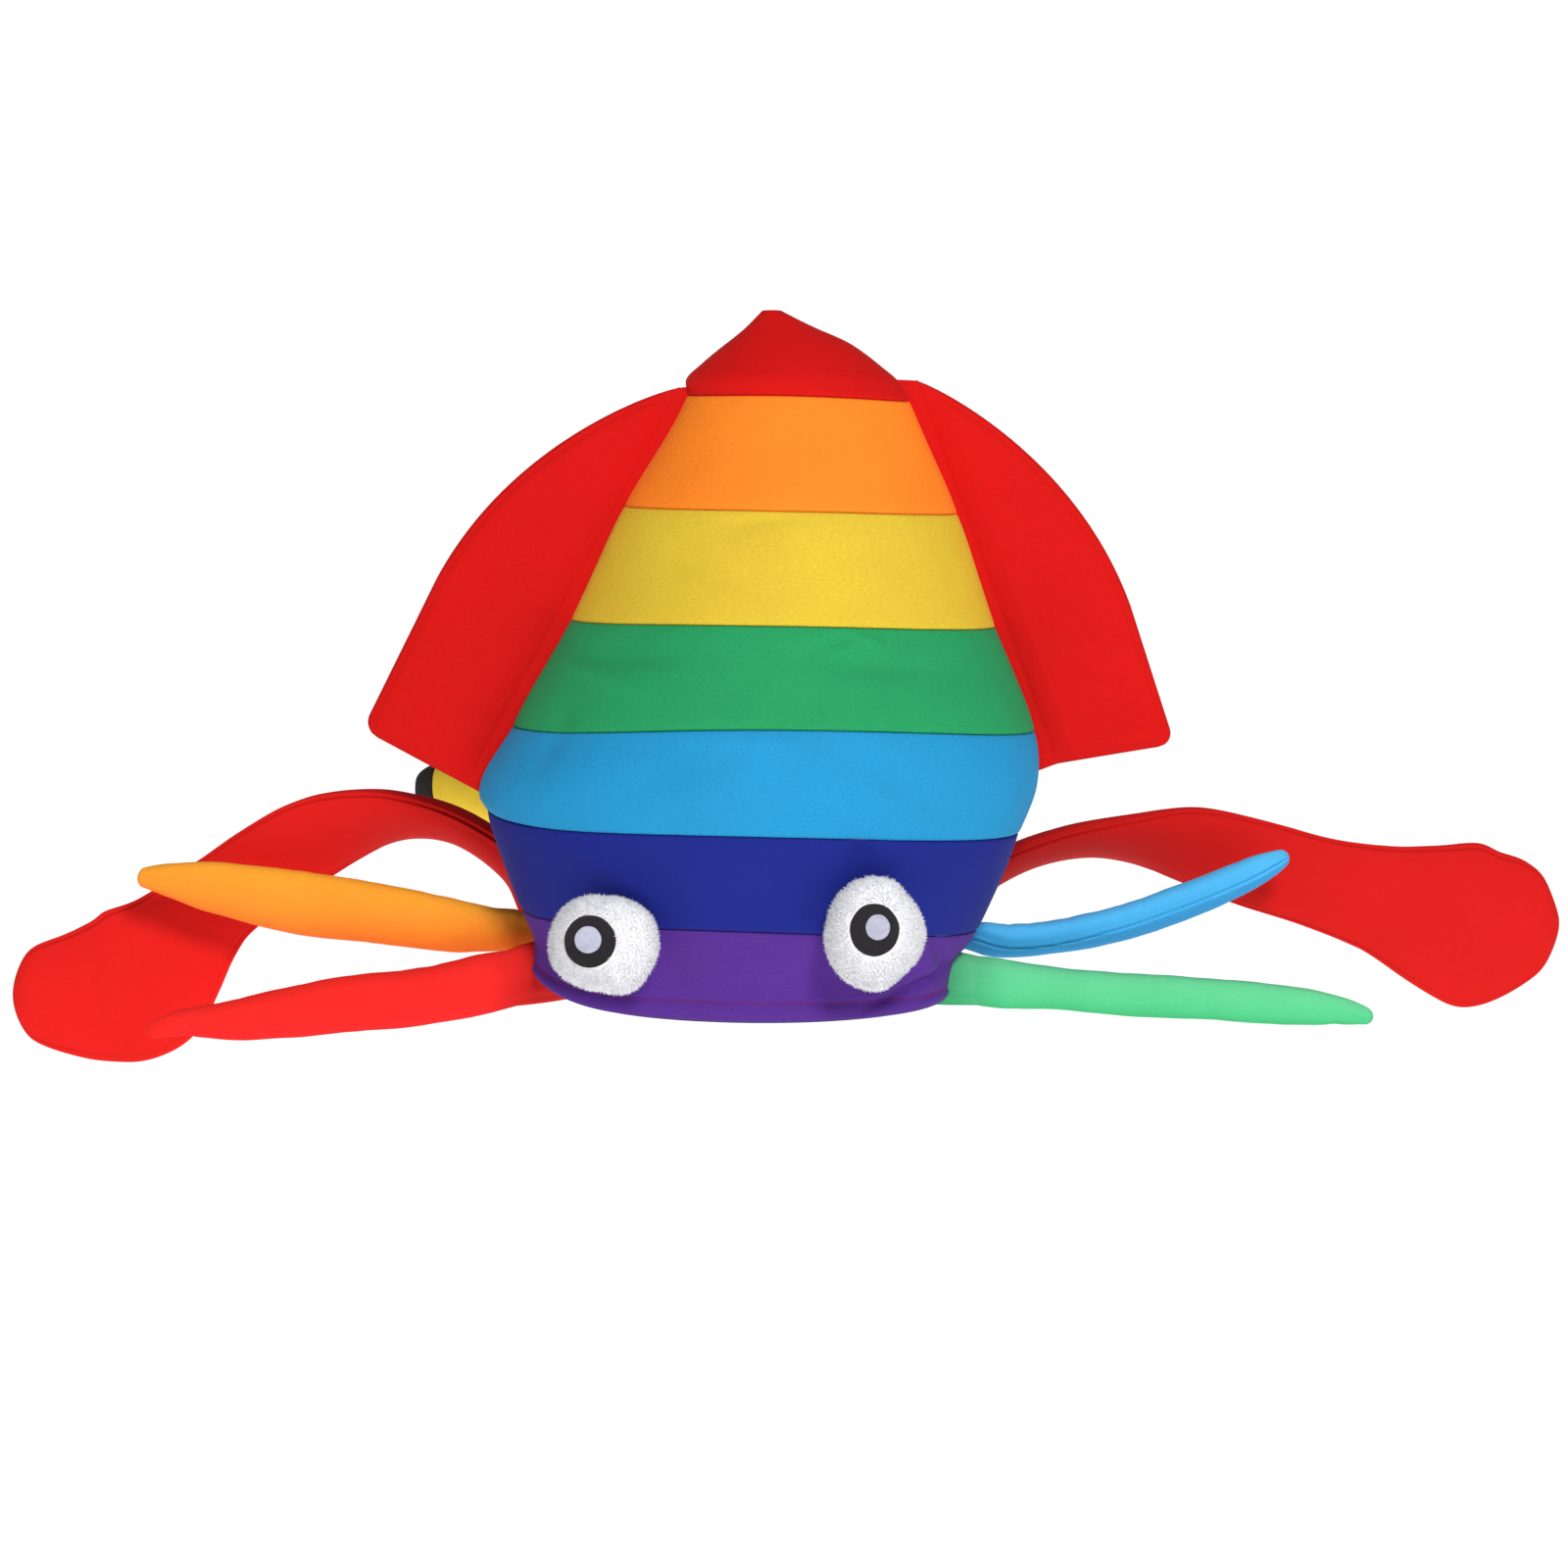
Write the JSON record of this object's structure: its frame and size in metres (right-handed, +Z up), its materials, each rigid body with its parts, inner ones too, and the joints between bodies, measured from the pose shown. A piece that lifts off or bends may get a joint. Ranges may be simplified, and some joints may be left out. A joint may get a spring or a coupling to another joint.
{
  "type": "squid costume hat",
  "caption": "Tall soft hat in the shape of a squid: a striped padded mantle with two side fins, plush eyes, stuffed arms and long paddle-ended tentacles, each limb on a hinge.",
  "frame": {"origin": "centre of the head opening, in the plane of the rim", "axes": "+Z up towards the peak, -Y is the face with the eyes, +X to the viewer's right when facing the eyes"},
  "size_m": [0.8408, 0.4022, 0.4094],
  "materials": {
    "purple_knit": "brushed knit on foam backing",
    "indigo_knit": "brushed knit on foam backing",
    "sky_knit": "brushed knit on foam backing",
    "green_knit": "brushed knit on foam backing",
    "yellow_knit": "brushed knit on foam backing",
    "orange_knit": "brushed knit on foam backing",
    "red_knit": "brushed knit on foam backing",
    "elastic": "woven",
    "thread": "satin",
    "foam": "open-cell foam",
    "red_arm_knit": "brushed knit",
    "stuffing": "loose fibre",
    "orange_arm_knit": "brushed knit",
    "yellow_arm_knit": "brushed knit",
    "charcoal_felt": "matte",
    "green_arm_knit": "brushed knit",
    "blue_arm_knit": "brushed knit",
    "purple_arm_knit": "brushed knit",
    "white_plush": "short pile",
    "black_felt": "matte",
    "grey_felt": "matte"
  },
  "bodies": {
    "hat": {"purple_band_front": "purple_knit", "indigo_band_front": "indigo_knit", "sky_band_front": "sky_knit", "green_band_front": "green_knit", "yellow_band_front": "yellow_knit", "orange_band_front": "orange_knit", "red_peak_front": "red_knit", "purple_band_back": "purple_knit", "indigo_band_back": "indigo_knit", "sky_band_back": "sky_knit", "green_band_back": "green_knit", "yellow_band_back": "yellow_knit", "orange_band_back": "orange_knit", "red_peak_back": "red_knit", "hem_facing": "purple_knit", "hem_elastic": "elastic", "hem_stitching": "thread", "left_eye_plush": "white_plush", "left_eye_stuffing": "stuffing", "left_eye_iris": "black_felt", "left_eye_pupil": "grey_felt", "right_eye_plush": "white_plush", "right_eye_stuffing": "stuffing", "right_eye_iris": "black_felt", "right_eye_pupil": "grey_felt"},
    "left_fin": {"left_fin_cover": "red_knit", "left_fin_foam": "foam"},
    "right_fin": {"right_fin_cover": "red_knit", "right_fin_foam": "foam"},
    "red_arm": {"red_arm_sleeve": "red_arm_knit", "red_arm_stuffing": "stuffing"},
    "orange_arm": {"orange_arm_sleeve": "orange_arm_knit", "orange_arm_stuffing": "stuffing"},
    "yellow_arm": {"yellow_arm_sleeve": "yellow_arm_knit", "yellow_arm_stuffing": "stuffing", "yellow_arm_tip_cap": "charcoal_felt"},
    "green_arm": {"green_arm_sleeve": "green_arm_knit", "green_arm_stuffing": "stuffing"},
    "blue_arm": {"blue_arm_sleeve": "blue_arm_knit", "blue_arm_stuffing": "stuffing"},
    "purple_arm": {"purple_arm_sleeve": "purple_arm_knit", "purple_arm_stuffing": "stuffing"},
    "left_tentacle": {"left_tentacle_sleeve": "red_knit", "left_tentacle_stuffing": "stuffing"},
    "right_tentacle": {"right_tentacle_sleeve": "red_knit", "right_tentacle_stuffing": "stuffing"}
  },
  "joints": [
    {"name": "left_fin_flap", "type": "hinge", "parent": "hat", "child": "left_fin", "pos_m": [-0.031, 0, 0.321], "axis": [-0.4789, 0, -0.8779], "range_deg": [-30, 30], "stiffness_Nm_per_rad": 0.06},
    {"name": "right_fin_flap", "type": "hinge", "parent": "hat", "child": "right_fin", "pos_m": [0.094, 0, 0.321], "axis": [0.35, 0, -0.9367], "range_deg": [-30, 30], "stiffness_Nm_per_rad": 0.06},
    {"name": "red_arm_swing", "type": "hinge", "parent": "hat", "child": "red_arm", "pos_m": [-0.1227, -0.0081, 0.0083], "axis": [-0.199, 0.98, 0], "range_deg": [-55, 30], "stiffness_Nm_per_rad": 0.06, "springref_deg": 22.92},
    {"name": "orange_arm_swing", "type": "hinge", "parent": "hat", "child": "orange_arm", "pos_m": [-0.122, 0.0191, 0.0291], "axis": [-0.057, 0.9984, 0], "range_deg": [-60, 25], "stiffness_Nm_per_rad": 0.06, "springref_deg": 22.92},
    {"name": "yellow_arm_swing", "type": "hinge", "parent": "hat", "child": "yellow_arm", "pos_m": [-0.0607, 0.0863, 0.0301], "axis": [0.7151, 0.6991, 0], "range_deg": [-60, 20], "stiffness_Nm_per_rad": 0.06, "springref_deg": 22.92},
    {"name": "green_arm_swing", "type": "hinge", "parent": "hat", "child": "green_arm", "pos_m": [0.1269, -0.0077, 0.0064], "axis": [-0.178, -0.984, 0], "range_deg": [-46, 27], "stiffness_Nm_per_rad": 0.06, "springref_deg": 22.92},
    {"name": "blue_arm_swing", "type": "hinge", "parent": "hat", "child": "blue_arm", "pos_m": [0.1321, 0.0192, 0.025], "axis": [-0.064, -0.998, 0], "range_deg": [-60, 20], "stiffness_Nm_per_rad": 0.06, "springref_deg": 22.92},
    {"name": "purple_arm_swing", "type": "hinge", "parent": "hat", "child": "purple_arm", "pos_m": [0.0607, 0.0901, 0.0281], "axis": [0.9854, -0.1701, 0], "range_deg": [-60, 25], "stiffness_Nm_per_rad": 0.06, "springref_deg": 22.92},
    {"name": "left_tentacle_swing", "type": "hinge", "parent": "hat", "child": "left_tentacle", "pos_m": [-0.107, 0.0516, 0.0333], "axis": [-0.034, 0.9994, 0], "range_deg": [-60, 5], "stiffness_Nm_per_rad": 0.2, "springref_deg": 22.92},
    {"name": "right_tentacle_swing", "type": "hinge", "parent": "hat", "child": "right_tentacle", "pos_m": [0.1182, 0.0566, 0.0318], "axis": [-0.024, -0.9997, 0], "range_deg": [-70, 4], "stiffness_Nm_per_rad": 0.2, "springref_deg": 22.92}
  ]
}
